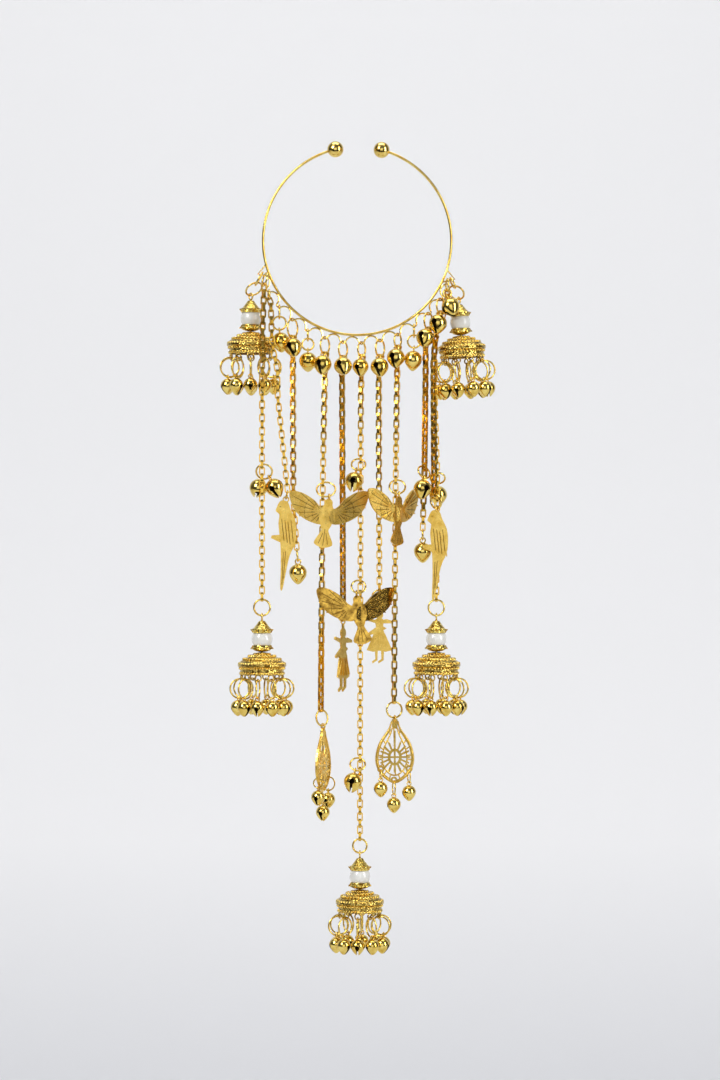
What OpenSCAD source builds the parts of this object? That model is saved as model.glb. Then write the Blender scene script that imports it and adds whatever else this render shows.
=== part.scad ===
/* [Hoop] */
// Radius of the hoop, to the middle of its wire
hoop_r = 32; // [28:0.5:35]
// Thickness of the hoop's wire
hoop_wire = 0.9; // [0.8:0.1:1.3]
// Half of the angle left open at the top of the hoop
hoop_gap_half = 14.2; // [11:0.2:18]
// How far the opening is turned to the right
hoop_gap_turn = 0.8; // [-3:0.2:3]
// Diameter of the balls on the hoop's ends
hoop_ball_d = 5.5; // [4.5:0.1:6.5]

/* [Scalloped wire] */
// Thickness of the scalloped wire, the jump rings and the end loops
ring_wire = 0.65; // [0.55:0.05:0.7]
// Radius of the narrow bows that carry the rings
bow_r = 0.9; // [0.8:0.05:1]
// Radius of the wide arches that touch the hoop
arch_r = 2.4; // [2.3:0.05:2.6]
// Distance between two bows, across the hoop's wire
bow_spacing = 5.912; // [5.7:0.002:6]
// Angle of the middle of the row of bows, from straight down
bow_middle = -2.8; // [-4:0.1:-2]
// How far the end loops stand out from the hoop
end_loop_out = 3.6; // [3:0.1:4.5]

/* [Rings and chains] */
// Slack of a ring on the wire that carries it
hang_gap = 0.12; // [0.1:0.02:0.2]
// Diameter of a chain as it fills a tube
chain_d = 2; // [1.6:0.1:2.2]

/* [Bells] */
// Diameter of the large bells
bell_d = 6.2; // [5.4:0.1:6.2]
// Diameter of the one small rough bell in the rim row
rough_bell_d = 5.6; // [5:0.1:5.8]
// Diameter of the bells on the leaf charms and domes
small_bell_d = 4.8; // [4:0.1:5]
// Thickness of a bell's wall
bell_wall = 0.35; // [0.25:0.05:0.5]
// Width of a bell's slot
bell_slot = 0.7; // [0.4:0.1:1]
// Inner radius of a large bell's eye
bell_eye_r = 0.65; // [0.6:0.05:0.8]
// Thickness of the wire of a bell's eye
bell_eye_wire = 0.5; // [0.4:0.05:0.6]

/* [Jhumkas] */
// Diameter of the pearl
pearl_d = 7; // [6:0.1:7.4]
// Diameter of the petal caps, over their tips
cap_d = 7.9; // [7:0.1:8.6]
// Wall of the petal caps
cap_wall = 0.4; // [0.3:0.05:0.6]
// Thickness of the pin through the pearl
pin_d = 0.8; // [0.6:0.05:1]
// Clearance of the pin in its bores
pin_gap = 0.15; // [0.1:0.05:0.3]
// Inner radius of the pin's eye
pin_eye_r = 0.8; // [0.75:0.05:1]
// Widest diameter of the dome
dome_d = 16.4; // [15:0.1:17]
// Height of the dome
dome_h = 7.6; // [7:0.1:9]
// Wall of the dome
dome_wall = 0.7; // [0.5:0.05:1]
// Diameter of the dome's lower band
band_d = 14.8; // [13.6:0.1:15]
// Number of bells below a dome
dome_bells = 10; // [8:1:10]
// Outer diameter of the rings that carry those bells
dome_ring_d = 7.2; // [6:0.1:7.4]
// Thickness of those rings
dome_ring_wire = 0.6; // [0.5:0.05:0.65]

/* [Charms] */
// Thickness of the stamped charms
plate_t = 0.6; // [0.5:0.05:0.9]
// Height of the raised lines on the charms
relief_h = 0.35; // [0.15:0.05:0.4]
// Length of a dove's wing, from its shoulder
wing_len = 12; // [11:0.2:13]
// Length of a dove, from its eye to its tail
dove_len = 17.6; // [16:0.2:19]
// Length of a parrot, from crown to tail
parrot_len = 30.5; // [29:0.5:32]
// Height of the large dancer
dancer_h = 19; // [18:0.5:20]
// Height of the small dancer
small_dancer_h = 23; // [22:0.5:24]
// Length of a leaf charm, below its eye
leaf_len = 21.2; // [20:0.2:23]
// Width of a leaf charm
leaf_w = 13.4; // [12:0.2:14.5]

/* [Hidden] */
$fn = 48;
DOWN = [0, 0, -1];

function unit(v) = v / norm(v);
function flat(a) = [cos(a), 0, sin(a)];
function level(a) = [cos(a), sin(a), 0];
function mix(a, b, t) = a + (b - a) * t;

// Scalloped wire: bow 2 to bow 13 hang from arches that touch the hoop
touch_r = hoop_r + (hoop_wire + ring_wire) / 2 - 0.12;
arch_at = touch_r + arch_r;
half_pitch = asin(bow_spacing / 2 / hoop_r);
bow_first = bow_middle - 11 * half_pitch;
bow_at = arch_at * cos(half_pitch)
    - sqrt(pow(arch_r + bow_r, 2) - pow(arch_at * sin(half_pitch), 2));
function bow_angle(k) = bow_first + (k - 2) * 2 * half_pitch;
function bow_dir(k) = flat(bow_angle(k) - 90);
function bow_centre(k) = bow_at * bow_dir(k);
function arch_centre(k) = arch_at * bow_dir(k - 0.5);
// End loops: a corner outside the hoop, and a level bar back to it. They keep their
// distance from the first and last bow.
left_corner = (hoop_r + end_loop_out) * bow_dir(1.019);
right_corner = (hoop_r + end_loop_out) * bow_dir(14.226);
left_bar_end = hoop_r * bow_dir(1.387);
right_bar_end = hoop_r * bow_dir(13.783);
function on_left_bar(t) = mix(left_corner, left_bar_end, t);
function on_right_bar(t) = mix(right_corner, right_bar_end, t);
// The point of the wire's middle that a ring hangs on
function hang(k) = k == 1 ? on_left_bar(0.6) : k == 14 ? on_right_bar(0.57)
    : bow_centre(k) + bow_r * DOWN;

// Rings: the middle of a ring's wire runs from its top to its bottom point
ring_lift = ring_wire + hang_gap;
function ring_drop(d) = d - ring_wire - ring_lift;
function up_dir(a, b) = unit(a - b);
function side_dir(up, side) = unit(side - up * (side * up));
function ring_point(ring, a) = let (up = up_dir(ring[0], ring[1]), v = side_dir(up, ring[2]))
    (ring[0] + ring[1]) / 2 + norm(ring[0] - ring[1]) / 2 * (v * sin(a) - up * cos(a));
function ring_tangent(ring, a) = let (up = up_dir(ring[0], ring[1]), v = side_dir(up, ring[2]))
    v * cos(a) + up * sin(a);
// A ring of diameter d that hangs from the wire at p, in the direction aim
function hung_ring(p, d, side, aim = DOWN) =
    [p - unit(aim) * ring_lift, p + unit(aim) * ring_drop(d), side];

// Rim row, one line for each bow or end loop that carries a bell:
// bow, ring sizes, azimuth of the first ring, bell size, lean to the right, lean to the front
RIM = [
    [3, [5.2, 5.2], 90, bell_d, 6, -17],
    [4, [7.2], 60, bell_d, 12, 30],
    [5, [4.6, 4.6], 90, bell_d, 0, -25],
    [6, [6.6], 60, bell_d, -4, 24],
    [7, [6.4], 60, bell_d, 10, 40],
    [8, [5.7], 60, rough_bell_d, 1, 10],
    [9, [6.6], 60, bell_d, 5, 26],
    [10, [5.4], 60, bell_d, -4, 24],
    [11, [5, 5], 90, bell_d, -4, -6],
    [12, [6.4], 60, bell_d, -12, 38],
    [13, [5.8], 60, bell_d, -6, 24],
    [14, [5, 3.4], 100, bell_d, 18, 32]
];
function rim_row(k) = [for (row = RIM) if (row[0] == k) row][0];
function rim_ring(k, i) = let (row = rim_row(k), az = row[2] + 90 * i)
    hung_ring(i == 0 ? hang(k) : rim_ring(k, i - 1)[1], row[1][i], level(az));
function lean(side, front) = unit([tan(side), -tan(front), -1]);
// Where a chain hooks on behind the rim bell
chain_hook_angle = 20;

// Routes of the chains, chosen by hand. Each chain hangs from a hook, which is the
// bottom of a ring, and its points are offsets from there. A run ends where a ring
// passes through the chain, and the next run starts below it.
C1 = [[[0, -0.5, -0.8], [-0.4, -1.4, -11.4], [-0.6, -3.8, -19.4], [-0.6, -4.6, -26.4],
    [-0.6, -4.6, -60.3]], [[-0.6, -4.6, -62.1], [-0.6, -4.6, -106.1]]];
C2 = [[[0.6, -1, -0.8], [1, -2.7, -13], [1.6, -2.9, -18], [2.9, -2.4, -24],
    [3, -2.4, -33], [6.4, -2.6, -64.5]]];
C3 = [[[0.3, 1.2, -0.7], [0.2, 2, -2.6], [0.1, 2, -5.2], [0.1, 1.2, -10],
    [0.3, 1, -54], [1.4, 1, -71.2]]];
C4 = [[[0.3, 1.2, -0.7], [0.1, 2, -2.6], [0, 2, -5.2], [-0.1, 0.6, -12], [-0.7, 0, -43]],
    [[-0.7, 0, -44.8], [-1.4, 0, -120.5]]];
C5 = [[[0.2, 1.2, -0.7], [-0.1, 2, -2.6], [-0.3, 2, -5.2], [-0.3, 1.8, -14],
    [0, 2.2, -84]]];
C6 = [[[0.3, 1.2, -0.7], [0.1, 2.8, -2.6], [0, 2.8, -5.2], [-0.2, 0.6, -12],
    [-0.3, 0, -34.1]], [[-0.3, 0, -35.9], [-0.4, 0, -75.4]],
    [[-0.4, 0, -77.2], [-0.5, 0, -135.8]], [[-0.5, 0, -137.6], [-0.6, 0, -163.4]]];
C7 = [[[0.1, 1.2, -0.7], [-0.3, 2, -2.6], [-0.4, 2, -5.2], [-0.4, 1.8, -14],
    [-0.2, 3, -78.8]]];
C8 = [[[0.1, 1.2, -0.7], [0, 2, -2.6], [-0.1, 2, -5.2], [-0.2, 0.6, -12], [-0.7, 0, -44.4]],
    [[-0.7, 0, -46.2], [-1.3, 0, -120]]];
C9 = [[[-0.4, 1.2, -0.7], [-0.8, 2, -2.6], [-0.9, 2, -5.2], [-0.9, 1.2, -14],
    [-1.3, 0.7, -46]], [[-1.3, 0.7, -48.1], [-1.9, 1.8, -67.4]]];
C10 = [[[-0.5, 1.2, -0.7], [-1.1, 2.15, -2.8], [-1.35, 1.6, -5.3], [-1.75, -1.2, -9.8],
    [-2.35, -1.6, -17.3], [-2.1, -1.6, -61]]];
C11 = [[[0.1, 1.7, -0.8], [-0.7, 4.2, -4], [-1.5, 3.8, -8.5], [-2.3, 3.8, -12],
    [-4.5, 1.6, -17], [-4.2, 0.6, -25], [-4.2, 0.6, -37], [-3.4, 0.4, -60.9]],
    [[-3.4, 0.4, -62.7], [-3.7, 0.4, -104.3]]];
// The bow that each chain hangs from
CHAIN_BOW = [1, 2, 4, 6, 7, 8, 9, 10, 12, 13, 14];
CHAINS = [C1, C2, C3, C4, C5, C6, C7, C8, C9, C10, C11];
first_chain_ring_d = 5.2;
second_chain_ring_d = 4;
C1_AIM = [-0.1, -0.5, -1];
function chain_ring(n) = n == 1 ? hung_ring(hang(1), first_chain_ring_d, level(110), C1_AIM)
    : n == 2 ? hung_ring(hang(2), second_chain_ring_d, level(100))
    : rim_ring(CHAIN_BOW[n - 1], 0);
function hook(n) = chain_ring(n)[1];
function chain_run(n, i) = [for (p = CHAINS[n - 1][i]) hook(n) + p];
function last(v) = v[len(v) - 1];
function run_end(n, i) = last(chain_run(n, i));
// Where a ring passes through chain n, below its run i
function chain_gap(n, i) = run_end(n, i) + gap_slack * DOWN;
// The top of a ring that the end of chain n carries
end_slack = 0.5;
gap_slack = 0.7;
function chain_end(n) = run_end(n, len(CHAINS[n - 1]) - 1) + end_slack * DOWN;

// Jump rings of the charms and jhumkas, hinge point of each jhumka at a ring's bottom
TL_HANG = on_left_bar(0.26);
TR_HANG = on_right_bar(0.24);
TL_AIM = [-3.9, 6.2, -7];
TR_AIM = [2.6, 4.2, -6.3];
tl_swing = 126;
tr_swing = 62;
function swing_axis(a) = level(a - 90);
tl_ring_a = hung_ring(TL_HANG, 5.8, level(90), TL_AIM);
tl_ring_b = hung_ring(tl_ring_a[1], 6.6, swing_axis(tl_swing), TL_AIM);
tr_ring_a = hung_ring(TR_HANG, 4.6, level(100), TR_AIM);
tr_ring_b = hung_ring(tr_ring_a[1], 6.2, swing_axis(tr_swing), TR_AIM);
function end_ring(n, d, to, side = [1, 0, 0]) =
    [chain_end(n), chain_end(n) + unit(to) * (d - ring_wire), side];
ml_ring = end_ring(1, 6.1, DOWN);
mr_ring = end_ring(11, 6, DOWN);
bottom_ring = end_ring(6, 5.4, DOWN);

// Jhumkas: hinge point, azimuth of the swing, tilt to the right, turn of the bells
right_tilt = 3.5;
JHUMKAS = [
    [tl_ring_b[1], tl_swing, 0, 19],
    [tr_ring_b[1], tr_swing, right_tilt, 2],
    [ml_ring[1], 90, 0, 9],
    [mr_ring[1], 90, 0, 4],
    [bottom_ring[1], 90, 0, 13]
];

// Rings that hang on chains and carry bells or charms
c1_ring = [chain_gap(1, 0), chain_gap(1, 0) + [1.4, 2.2, -4.7], [1, 0, 0]];
c3_ring = end_ring(3, 4.9, [0.1, 0, -1], [0, 1, 0]);
c4_ring = [chain_gap(4, 0), chain_gap(4, 0) + [2.2, -3.8, -4.6], [1, 0, 0]];
c6_ring_a = [chain_gap(6, 0), chain_gap(6, 0) + [-1.5, -2.6, -3.7], [1, 0, 0]];
c6_ring_b = [chain_gap(6, 1), chain_gap(6, 1) + [-1.3, -2.2, -4.1], [1, 0, 0]];
c6_ring_c = [chain_gap(6, 2), chain_gap(6, 2) + [-1.7, -2.8, -3.9], [1, 0, 0]];
c8_ring = [chain_gap(8, 0), chain_gap(8, 0) + [1.1, -2.6, -4.6], [1, 0, 0]];
c9_ring_a = [chain_gap(9, 0), chain_gap(9, 0) + [-0.4, -3, -3.6], [1, 0.8, 0]];
c9_ring_b = end_ring(9, 4.2, DOWN, [0, 1, 0]);
c11_ring = [chain_gap(11, 0), chain_gap(11, 0) + [0.4, 3.4, -3.6], [1, 0, 0]];
c2_ring = end_ring(2, 3.4, [-0.2, 0, -1], [0, 1, 0]);
c10_ring = end_ring(10, 5.6, [0.25, 0, -1], [1, -1, 0]);
c5_ring = end_ring(5, 5.6, [0, 0.05, -1], [1, 1, 0]);
c7_ring = end_ring(7, 5.6, [0, 0.05, -1], [1, 0, 0]);
leaf_left_ring = end_ring(4, 6, [0.15, 0, -1], [1, 1, 0]);
leaf_right_ring = end_ring(8, 6, [0.05, 0, -1], [1, 0.3, 0]);
EXTRA_RINGS = [chain_ring(1), chain_ring(2), tl_ring_a, tl_ring_b, tr_ring_a, tr_ring_b,
    ml_ring, mr_ring, bottom_ring, c1_ring, c3_ring, c4_ring, c6_ring_a, c6_ring_b,
    c6_ring_c, c8_ring, c9_ring_a, c9_ring_b, c11_ring, c2_ring, c10_ring, c5_ring, c7_ring,
    leaf_left_ring, leaf_right_ring];

// Places children with Z along up, X towards side, at p
module aimed(p, up, side) {
    u = unit(up);
    v = side_dir(u, side);
    w = cross(u, v);
    multmatrix([
        [v[0], w[0], u[0], p[0]],
        [v[1], w[1], u[1], p[1]],
        [v[2], w[2], u[2], p[2]],
        [0, 0, 0, 1]
    ])
        children();
}

// A ring of round wire, its middle of radius r, lying in X and Z
module wire_ring(r, wire) {
    rotate([90, 0, 0])
        rotate_extrude()
            translate([r, 0])
                circle(d = wire);
}

module hanging_ring(ring, wire = ring_wire) {
    aimed((ring[0] + ring[1]) / 2, ring[0] - ring[1], ring[2])
        wire_ring(norm(ring[0] - ring[1]) / 2, wire);
}

// A round wire bent to an arc about p in X and Z, from one angle to another
module wire_arc(p, r, from, to, wire) {
    translate(p)
        rotate([90, 0, 0])
            rotate([0, 0, from])
                rotate_extrude(angle = to - from)
                    translate([r, 0])
                        circle(d = wire);
}

// A thin wire or a chain's outer form: rings of corners about each point, joined in turn
module route_tube(points, d, sides = 8, side = [1, 0, 0]) {
    n = len(points);
    rows = [for (i = [0:n - 1])
        let (
            t = unit(points[min(i + 1, n - 1)] - points[max(i - 1, 0)]),
            v = side_dir(t, side),
            w = cross(t, v)
        )
        for (s = [0:sides - 1])
            points[i] + d / 2 * (v * cos(s * 360 / sides) + w * sin(s * 360 / sides))];
    walls = [for (i = [0:n - 2]) for (s = [0:sides - 1])
        let (next = (s + 1) % sides, a = i * sides, b = a + sides)
            [b + s, b + next, a + next, a + s]];
    start = [for (s = [0:sides - 1]) s];
    end = [for (s = [sides - 1:-1:0]) (n - 1) * sides + s];
    polyhedron(points = rows, faces = concat([start], walls, [end]));
}

// The scalloped wire: arches that touch the hoop and narrow bows between them. A bow
// meets each of its arches on the line between their middles.
bow_spread = 180 - atan2(arch_at * sin(half_pitch), arch_at * cos(half_pitch) - bow_at);
arch_spread = atan2(bow_at * sin(half_pitch), arch_at - bow_at * cos(half_pitch));
arch_steps = 6;
bow_steps = 4;
function arc_points(p, r, from, to, steps) =
    [for (s = [0:steps - 1]) p + r * flat(mix(from, to, s / steps))];
function arch_points(k) = let (a = bow_angle(k - 0.5) + 90)
    arc_points(arch_centre(k), arch_r, a + arch_spread, a - arch_spread, arch_steps);
function bow_points(k) = let (a = bow_angle(k) - 90)
    arc_points(bow_centre(k), bow_r, a - 180 + bow_spread, a + 180 - bow_spread, bow_steps);

module bangle_hoop() {
    gap_mid = 90 - hoop_gap_turn;
    in_plane = [0, 1, 0];
    scallops = concat([for (k = [2:13]) each concat(arch_points(k), bow_points(k))],
        arch_points(14), [arch_centre(14) + arch_r * flat(bow_angle(13.5) + 90 - arch_spread)]);
    color("goldenrod") {
        wire_arc([0, 0, 0], hoop_r, gap_mid + hoop_gap_half, gap_mid - hoop_gap_half + 360,
            hoop_wire);
        for (side = [-1, 1])
            translate(hoop_r * flat(gap_mid + side * hoop_gap_half))
                sphere(d = hoop_ball_d);
        route_tube(scallops, ring_wire, 6, in_plane);
        route_tube([hoop_r * bow_dir(0.642), left_corner, left_bar_end], ring_wire, 6, in_plane);
        route_tube([hoop_r * bow_dir(14.575), right_corner, right_bar_end], ring_wire, 6, in_plane);
    }
}

// A bell with its eye round the wire at the origin, hanging along -Z.
// The eye lies in X and Z, and spin turns the body under it.
module bell(d, spin = 0, eye_r = bell_eye_r, eye_wire = bell_eye_wire, on_wire = ring_wire) {
    eye_mid = eye_r + eye_wire / 2;
    eye_z = on_wire / 2 + hang_gap - eye_r;
    translate([0, 0, eye_z])
        wire_ring(eye_mid, eye_wire);
    translate([0, 0, eye_z - eye_mid - d / 2 + bell_wall / 2])
        rotate([0, 0, spin])
            difference() {
                sphere(d = d);
                sphere(d = d - 2 * bell_wall);
                translate([0, 0, -d / 2])
                    cube([d, bell_slot, d * 0.9], center = true);
                translate([0, 0, -d * 0.08])
                    rotate([0, 90, 0])
                        cylinder(d = bell_slot * 2, h = d, center = true);
            }
}

module hanging_bell(p, aim, wire_dir, d, spin = 0) {
    aimed(p, -aim, cross(wire_dir, aim))
        bell(d, spin);
}

module rim_rings() {
    color("gold")
        for (row = RIM)
            for (i = [0:len(row[1]) - 1])
                hanging_ring(rim_ring(row[0], i));
}

module rim_bells() {
    color("gold")
        for (row = RIM) {
            ring = rim_ring(row[0], len(row[1]) - 1);
            a = len(row[1]) > 1 ? 0 : -chain_hook_angle;
            hanging_bell(ring_point(ring, a), lean(row[4], row[5]), ring_tangent(ring, a), row[3],
                90);
        }
}

module jump_rings() {
    color("gold")
        for (ring = EXTRA_RINGS)
            hanging_ring(ring);
}

module chain_bells() {
    color("gold") {
        hanging_bell(ring_point(c1_ring, -32), [-0.4, 0.7, -1], ring_tangent(c1_ring, -32), bell_d);
        hanging_bell(ring_point(c1_ring, 26), [0.5, -0.2, -1], ring_tangent(c1_ring, 26), bell_d);
        hanging_bell(c3_ring[1], DOWN, ring_tangent(c3_ring, 0), bell_d);
        hanging_bell(c6_ring_a[1], [-0.2, -0.3, -1], ring_tangent(c6_ring_a, 0), bell_d);
        hanging_bell(c6_ring_c[1], [-0.2, -0.3, -1], ring_tangent(c6_ring_c, 0), bell_d);
        hanging_bell(c9_ring_a[1], [-0.1, -0.35, -1], ring_tangent(c9_ring_a, 0), bell_d);
        hanging_bell(c9_ring_b[1], DOWN, ring_tangent(c9_ring_b, 0), bell_d);
        hanging_bell(c11_ring[1], [0, 0.3, -1], ring_tangent(c11_ring, 0), bell_d);
    }
}

module chain_tubes(n) {
    color("gold")
        for (i = [0:len(CHAINS[n - 1]) - 1])
            route_tube(chain_run(n, i), chain_d);
}

module chain_01() { chain_tubes(1); }
module chain_02() { chain_tubes(2); }
module chain_03() { chain_tubes(3); }
module chain_04() { chain_tubes(4); }
module chain_05() { chain_tubes(5); }
module chain_06() { chain_tubes(6); }
module chain_07() { chain_tubes(7); }
module chain_08() { chain_tubes(8); }
module chain_09() { chain_tubes(9); }
module chain_10() { chain_tubes(10); }
module chain_11() { chain_tubes(11); }

// Smooth closed outline through a few points
function between(a, b, c, d, t) = 0.5 * (2 * b + (c - a) * t
    + (2 * a - 5 * b + 4 * c - d) * t * t + (3 * b - a - 3 * c + d) * t * t * t);
function smooth(p, steps = 4) = let (n = len(p)) [for (i = [0:n - 1]) for (s = [0:steps - 1])
    between(p[(i + n - 1) % n], p[i], p[(i + 1) % n], p[(i + 2) % n], s / steps)];
function sized(h, shares) = [for (p = shares) h * p];
function mirrored(rows) = concat([for (r = rows) r],
    [for (i = [len(rows) - 1:-1:0]) if (rows[i][0] != 0) [-rows[i][0], rows[i][1]]]);

// A flat stamped shape: its outline in X and Z, its middle at y = 0
module stamped(points, t = plate_t) {
    rotate([90, 0, 0])
        linear_extrude(height = t, center = true)
            polygon(points);
}

// A raised line on the front of a plate, from one point in a direction
relief_w = 0.35;
module raised_line(p, a, length) {
    translate([p[0], -plate_t / 2, p[1]])
        rotate([0, -a, 0])
            translate([0, -relief_h, -relief_w / 2])
                cube([length, relief_h + plate_t / 2, relief_w]);
}

// A charm under a ring: its eye round the ring's bottom, then the charm turned to face
module charm(ring, face = 0, drift = 0) {
    p = ring[1];
    eye_mid = bell_eye_r + bell_eye_wire / 2;
    eye_z = ring_wire / 2 + hang_gap - bell_eye_r;
    aimed(p, [0, 0, 1], cross(ring_tangent(ring, 0), DOWN))
        translate([0, 0, eye_z])
            wire_ring(eye_mid, bell_eye_wire);
    translate(p + [0, 0, eye_z - eye_mid])
        rotate([0, drift, face])
            children();
}

// Dove: a body with head and fan tail, and two wings bent back at the shoulders.
// Half outlines as shares of the dove's and the wing's length.
DOVE_BODY = [[0, 0.02], [0.07, -0.03], [0.085, -0.12], [0.13, -0.21], [0.15, -0.37],
    [0.09, -0.54], [0.075, -0.62], [0.18, -0.84], [0.12, -0.91], [0, -0.94]];
DOVE_WING = [[-0.1, 0], [0.12, 0.14], [0.33, 0.36], [0.68, 0.56], [0.97, 0.58], [1, 0.4],
    [0.85, 0.04], [0.54, -0.22], [0.13, -0.36], [-0.1, -0.3]];
// Feather lines: direction, and length as a share of the wing
FEATHERS = [[-52, 0.3], [-30, 0.46], [-10, 0.66], [8, 0.84], [22, 0.94], [36, 0.86]];
shoulder = [0.085, -0.24];
module dove_wing(side, bend) {
    translate([side * shoulder[0] * dove_len, 0, shoulder[1] * dove_len])
        rotate([0, 0, side * bend])
            mirror([side < 0 ? 1 : 0, 0, 0]) {
                stamped(smooth(sized(wing_len, DOVE_WING)));
                for (f = FEATHERS)
                    raised_line([0.08, 0] * wing_len, f[0], f[1] * wing_len);
            }
}

module dove(left_bend, right_bend, tail_turn) {
    color("goldenrod") {
        rotate([0, tail_turn, 0])
            stamped(smooth(sized(dove_len, mirrored(DOVE_BODY))));
        dove_wing(-1, left_bend);
        dove_wing(1, right_bend);
    }
}

module dove_left() { charm(c4_ring, 0) dove(8, 12, 8); }
module dove_right() { charm(c8_ring, 50) dove(12, 12, 4); }
module dove_lower() { charm(c6_ring_b, 0) dove(0, 20, -8); }

// Parrot on a twig, beak to the left, as shares of its length
PARROT = [[-0.04, 0.02], [0.02, 0], [0.05, -0.08], [0.1, -0.19], [0.115, -0.32], [0.1, -0.46],
    [0.04, -0.6], [-0.005, -0.8], [-0.04, -0.97], [-0.065, -0.96], [-0.06, -0.77],
    [-0.06, -0.54], [-0.07, -0.39], [-0.085, -0.24], [-0.075, -0.14], [-0.115, -0.1],
    [-0.1, -0.05], [-0.075, 0]];
TWIG = [[-0.05, -0.36], [-0.16, -0.37], [-0.17, -0.4], [-0.04, -0.46]];
module parrot() {
    color("gold") {
        stamped(smooth(sized(parrot_len, PARROT), 3));
        stamped(sized(parrot_len, TWIG));
        for (i = [0:3])
            raised_line([-0.03 + 0.035 * i, -0.2 - 0.02 * i] * parrot_len, -84, 0.24 * parrot_len);
    }
}

module parrot_left() { charm(c2_ring, 0) parrot(); }
module parrot_right() { charm(c10_ring, 0) parrot(); }

// Dancer: head, body, raised arms, scarf, skirt and slippers, as shares of the height
module dancer(h, hem, skirt_end) {
    color("gold") {
        translate([0, 0, -0.13 * h])
            rotate([90, 0, 0])
                cylinder(r = 0.07 * h, h = plate_t, center = true);
        translate([0, 0, -0.04 * h])
            cube([0.04 * h, plate_t, 0.09 * h], center = true);
        stamped(sized(h, [[-0.03, -0.18], [0.03, -0.18], [0.085, -0.22], [0.06, -0.36], [0.1, -0.48],
            [-0.12, -0.48], [-0.06, -0.36], [-0.085, -0.22]]));
        stamped(sized(h, [[-0.05, -0.22], [-0.235, -0.18], [-0.25, -0.22], [-0.06, -0.28]]));
        stamped(sized(h, [[0.05, -0.22], [0.12, -0.2], [0.25, -0.24], [0.25, -0.28],
            [0.06, -0.28]]));
        stamped(sized(h, [[0.02, -0.3], [0.13, -0.37], [0.02, -0.43], [-0.2, -0.5],
            [-0.23, -0.47], [-0.08, -0.36]]));
        stamped(sized(h, [[-0.1, -0.46], [0.1, -0.46], [hem, skirt_end], [hem / 2, skirt_end - 0.03],
            [0, skirt_end - 0.01], [-hem / 2, skirt_end - 0.03], [-hem, skirt_end]]));
        for (side = [-1, 1])
            translate([side * 0.055 * h, 0, 0])
                stamped(sized(h, [[-0.03, skirt_end + 0.05], [0.03, skirt_end + 0.05], [0.02, -0.94],
                    [-0.07, -1], [-0.08, -0.96], [-0.02, -0.92]]));
        for (i = [-2:2])
            raised_line([i * 0.035, -0.5] * h, -90 + i * 9, (-0.5 - skirt_end - 0.02) * h);
    }
}

module dancer_left() { charm(c5_ring, 60) dancer(small_dancer_h, 0.17, -0.78); }
module dancer_right() { charm(c7_ring, 0) dancer(dancer_h, 0.23, -0.76); }

// Leaf charm: a pierced pear shape with a rim, an oval ring and bars between them.
// Half outline as shares of its width and of its length.
LEAF = [[0.09, 0], [0.13, -0.1], [0.27, -0.22], [0.42, -0.37], [0.5, -0.57], [0.47, -0.73],
    [0.33, -0.88], [0.12, -0.98], [0, -1]];
leaf_rim = 1.1;
leaf_bar = 0.6;
leaf_middle = -0.58;
leaf_neck = -0.2;
leaf_oval = [2.4, 2.9];
leaf_hole_d = 1.1;
leaf_boss_d = 2.4;
leaf_ring_wire = 0.5;
// Bells of a leaf: place of the hole as shares, and the ring's size
LEAF_BELLS = [[-0.36, -0.77, 3.8], [-0.02, -0.95, 5.4], [0.37, -0.77, 5.2]];
function leaf_point(p) = [p[0] * leaf_w, p[1] * leaf_len];
function leaf_outline(inset) = let (full = mirrored([for (p = LEAF) leaf_point(p)]))
    [for (p = full) let (c = [0, leaf_middle * leaf_len], d = p - c)
        c + d * (1 - inset / norm(d))];
function oval(inset) = [for (a = [0:15:345])
    [(leaf_oval[0] - inset) * cos(a), leaf_middle * leaf_len + (leaf_oval[1] - inset) * sin(a)]];
module leaf() {
    color("gold") {
        difference() {
            union() {
                difference() {
                    stamped(smooth(leaf_outline(0), 3));
                    stamped(smooth(leaf_outline(leaf_rim), 3), 2 * plate_t);
                }
                for (b = LEAF_BELLS)
                    translate([b[0] * leaf_w, 0, b[1] * leaf_len])
                        rotate([90, 0, 0])
                            cylinder(d = leaf_boss_d, h = plate_t, center = true);
                difference() {
                    stamped(oval(0));
                    stamped(oval(leaf_rim * 0.8), 2 * plate_t);
                }
                for (a = [0:22.5:337.5])
                    translate([0, 0, leaf_middle * leaf_len])
                        rotate([0, a, 0])
                            translate([0, -plate_t / 2, leaf_oval[0] - 0.3])
                                translate([-leaf_bar / 2, 0, 0])
                                    cube([leaf_bar, plate_t, a == 0 ? 0.38 * leaf_len - 1.2 : 3.2]);
                for (a = [0, 90])
                    translate([0, 0, leaf_middle * leaf_len])
                        rotate([0, a, 0])
                            cube([leaf_bar, plate_t, 2 * leaf_oval[0]], center = true);
                translate([0, 0, -0.04 * leaf_len])
                    cube([0.14 * leaf_w, plate_t, 0.14 * leaf_len], center = true);
            }
            for (b = LEAF_BELLS)
                translate([b[0] * leaf_w, 0, b[1] * leaf_len])
                    rotate([90, 0, 0])
                        cylinder(d = leaf_hole_d, h = 3 * plate_t, center = true);
        }
    }
}

small_eye_r = 0.5;
small_eye_wire = 0.4;
module leaf_bells() {
    color("gold")
        for (b = LEAF_BELLS) {
            top = [b[0] * leaf_w, 0, b[1] * leaf_len - leaf_hole_d / 2 + leaf_ring_wire / 2 + hang_gap];
            bottom = top + (b[2] - leaf_ring_wire) * DOWN;
            hanging_ring([top, bottom, [0, 1, 0]], leaf_ring_wire);
            translate(bottom)
                bell(small_bell_d, 0, small_eye_r, small_eye_wire, leaf_ring_wire);
        }
}

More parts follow.
